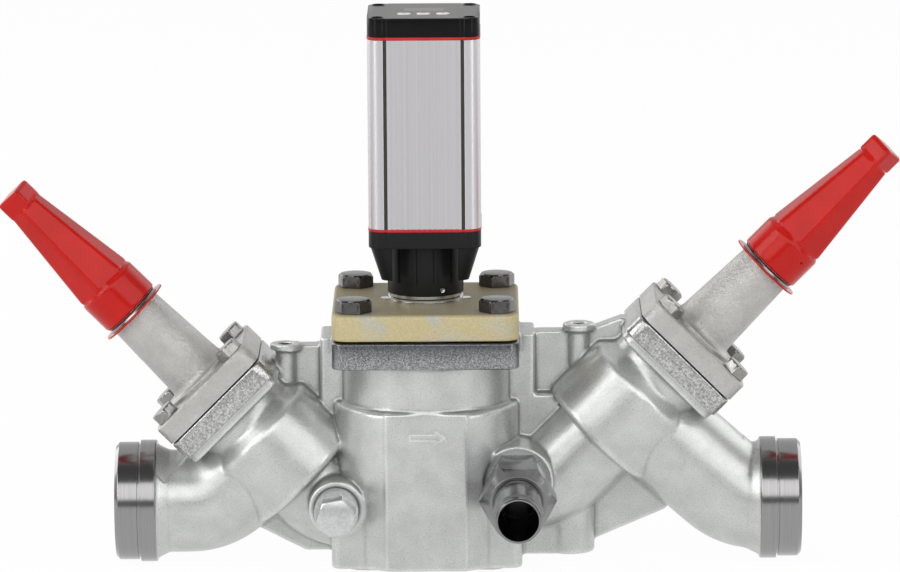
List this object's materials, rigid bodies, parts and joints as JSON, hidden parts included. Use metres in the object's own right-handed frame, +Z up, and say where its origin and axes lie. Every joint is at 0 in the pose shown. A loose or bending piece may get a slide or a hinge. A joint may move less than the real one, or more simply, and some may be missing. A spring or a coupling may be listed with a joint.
{
  "type": "refrigeration valve station",
  "caption": "Cast in-line valve station with a motor driven control valve between two angled stop valves, weld ends, a side nipple and seal caps.",
  "frame": {"origin": "on the control valve's vertical axis, at the resting face under the body", "axes": "+X along the line from the inlet weld end to the outlet weld end, +Z up along the control valve, -Y to the front, where the side nipple points"},
  "size_m": [0.675, 0.257, 0.4201],
  "materials": {
    "casting": "cast steel under a satin silver-grey protective coating",
    "zinc_cover": "zinc plated and yellow passivated steel, satin",
    "bolt_steel": "plain zinc plated steel",
    "plug_steel": "bright zinc plated steel",
    "stainless": "turned stainless steel",
    "dark_steel": "turned steel with a dark oiled surface",
    "cap_red": "moulded red plastic, glossy",
    "black_plastic": "black moulded plastic",
    "aluminium_profile": "extruded and anodised",
    "red_gasket": "soft moulded rubber",
    "fibre_gasket": "pressed fibre sheet",
    "ptfe": "turned fluoropolymer",
    "magnet": "sintered and ground",
    "display_glass": "clear window over a dark display",
    "circuit_board": "fibreglass board",
    "button_white": "moulded rubber keys"
  },
  "bodies": {
    "station": {"actuator_base": "black_plastic", "actuator_housing": "aluminium_profile", "base_gasket": "red_gasket", "boss_plugs": "bolt_steel", "button_switches": "black_plastic", "cable_inlets": "black_plastic", "control_board": "circuit_board", "control_cover": "zinc_cover", "control_cover_bolts": "bolt_steel", "control_cover_gasket": "fibre_gasket", "control_insert": "stainless", "cover_screws": "bolt_steel", "display_module": "display_glass", "display_window": "display_glass", "inlet_bonnet": "casting", "inlet_bonnet_bolts": "bolt_steel", "inlet_bonnet_gasket": "fibre_gasket", "inlet_cap_disc": "cap_red", "inlet_cap_gasket": "fibre_gasket", "inlet_gland_nut": "bolt_steel", "inlet_packing": "fibre_gasket", "insert_seal": "fibre_gasket", "lock_ring": "stainless", "magnet_tube": "stainless", "outlet_bonnet": "casting", "outlet_bonnet_bolts": "bolt_steel", "outlet_bonnet_gasket": "fibre_gasket", "outlet_cap_disc": "cap_red", "outlet_cap_gasket": "fibre_gasket", "outlet_gland_nut": "bolt_steel", "outlet_packing": "fibre_gasket", "set_screws": "bolt_steel", "side_adaptor": "dark_steel", "side_gasket": "fibre_gasket", "side_nipple": "dark_steel", "side_plug": "plug_steel", "side_plug_gasket": "fibre_gasket", "side_union_nut": "dark_steel", "stepper_motor": "black_plastic", "top_cover": "black_plastic", "top_gasket": "red_gasket", "valve_body": "casting"},
    "inlet_cap": {"inlet_cap": "cap_red"},
    "outlet_cap": {"outlet_cap": "cap_red"},
    "inlet_cone": {"inlet_cone": "stainless", "inlet_cone_seal": "ptfe"},
    "outlet_cone": {"outlet_cone": "stainless", "outlet_cone_seal": "ptfe"},
    "inlet_spindle": {"inlet_spindle": "stainless"},
    "outlet_spindle": {"outlet_spindle": "stainless"},
    "control_cone": {"control_cone": "stainless", "control_cone_seal": "ptfe"},
    "control_rotor": {"control_rotor": "magnet"},
    "drive_magnet": {"drive_magnet": "magnet"},
    "button_1": {"button_1": "button_white"},
    "button_2": {"button_2": "button_white"},
    "button_3": {"button_3": "button_white"}
  },
  "joints": [
    {"name": "inlet_cap_pull", "type": "slide", "parent": "station", "child": "inlet_cap", "axis": [-0.7071, 0, 0.7071], "range_m": [0, 0.13]},
    {"name": "inlet_cone_lift", "type": "slide", "parent": "station", "child": "inlet_cone", "axis": [-0.7071, 0, 0.7071], "range_m": [0, 0.02]},
    {"name": "inlet_spindle_turn", "type": "hinge", "parent": "inlet_cone", "child": "inlet_spindle", "pos_m": [-0.15744, 0, 0.13044], "axis": [-0.7071, 0, 0.7071], "range_deg": [0, 1800]},
    {"name": "outlet_cap_pull", "type": "slide", "parent": "station", "child": "outlet_cap", "axis": [0.7071, 0, 0.7071], "range_m": [0, 0.13]},
    {"name": "outlet_cone_lift", "type": "slide", "parent": "station", "child": "outlet_cone", "axis": [0.7071, 0, 0.7071], "range_m": [0, 0.02]},
    {"name": "outlet_spindle_turn", "type": "hinge", "parent": "outlet_cone", "child": "outlet_spindle", "pos_m": [0.19369, 0, 0.16169], "axis": [0.7071, 0, 0.7071], "range_deg": [0, 1800]},
    {"name": "control_cone_lift", "type": "slide", "parent": "station", "child": "control_cone", "axis": [0, 0, 1], "range_m": [0, 0.02]},
    {"name": "control_rotor_turn", "type": "hinge", "parent": "station", "child": "control_rotor", "pos_m": [0, 0, 0.2], "axis": [0, 0, 1], "range_deg": [0, 1800]},
    {"name": "drive_magnet_turn", "type": "hinge", "parent": "station", "child": "drive_magnet", "pos_m": [0, 0, 0.24], "axis": [0, 0, 1], "range_deg": [0, 1800]},
    {"name": "button_1_press", "type": "slide", "parent": "station", "child": "button_1", "axis": [0, 0, -1], "range_m": [0, 0.0008], "stiffness_N_per_m": 500, "springref_m": -0.002},
    {"name": "button_2_press", "type": "slide", "parent": "station", "child": "button_2", "axis": [0, 0, -1], "range_m": [0, 0.0008], "stiffness_N_per_m": 500, "springref_m": -0.002},
    {"name": "button_3_press", "type": "slide", "parent": "station", "child": "button_3", "axis": [0, 0, -1], "range_m": [0, 0.0008], "stiffness_N_per_m": 500, "springref_m": -0.002}
  ],
  "couplings": [
    {"joint": "inlet_spindle_turn", "follows": "inlet_cone_lift", "rad_per_m": 1570.8},
    {"joint": "outlet_spindle_turn", "follows": "outlet_cone_lift", "rad_per_m": 1570.8},
    {"joint": "control_rotor_turn", "follows": "control_cone_lift", "rad_per_m": 1570.8},
    {"joint": "drive_magnet_turn", "follows": "control_cone_lift", "rad_per_m": 1570.8}
  ]
}
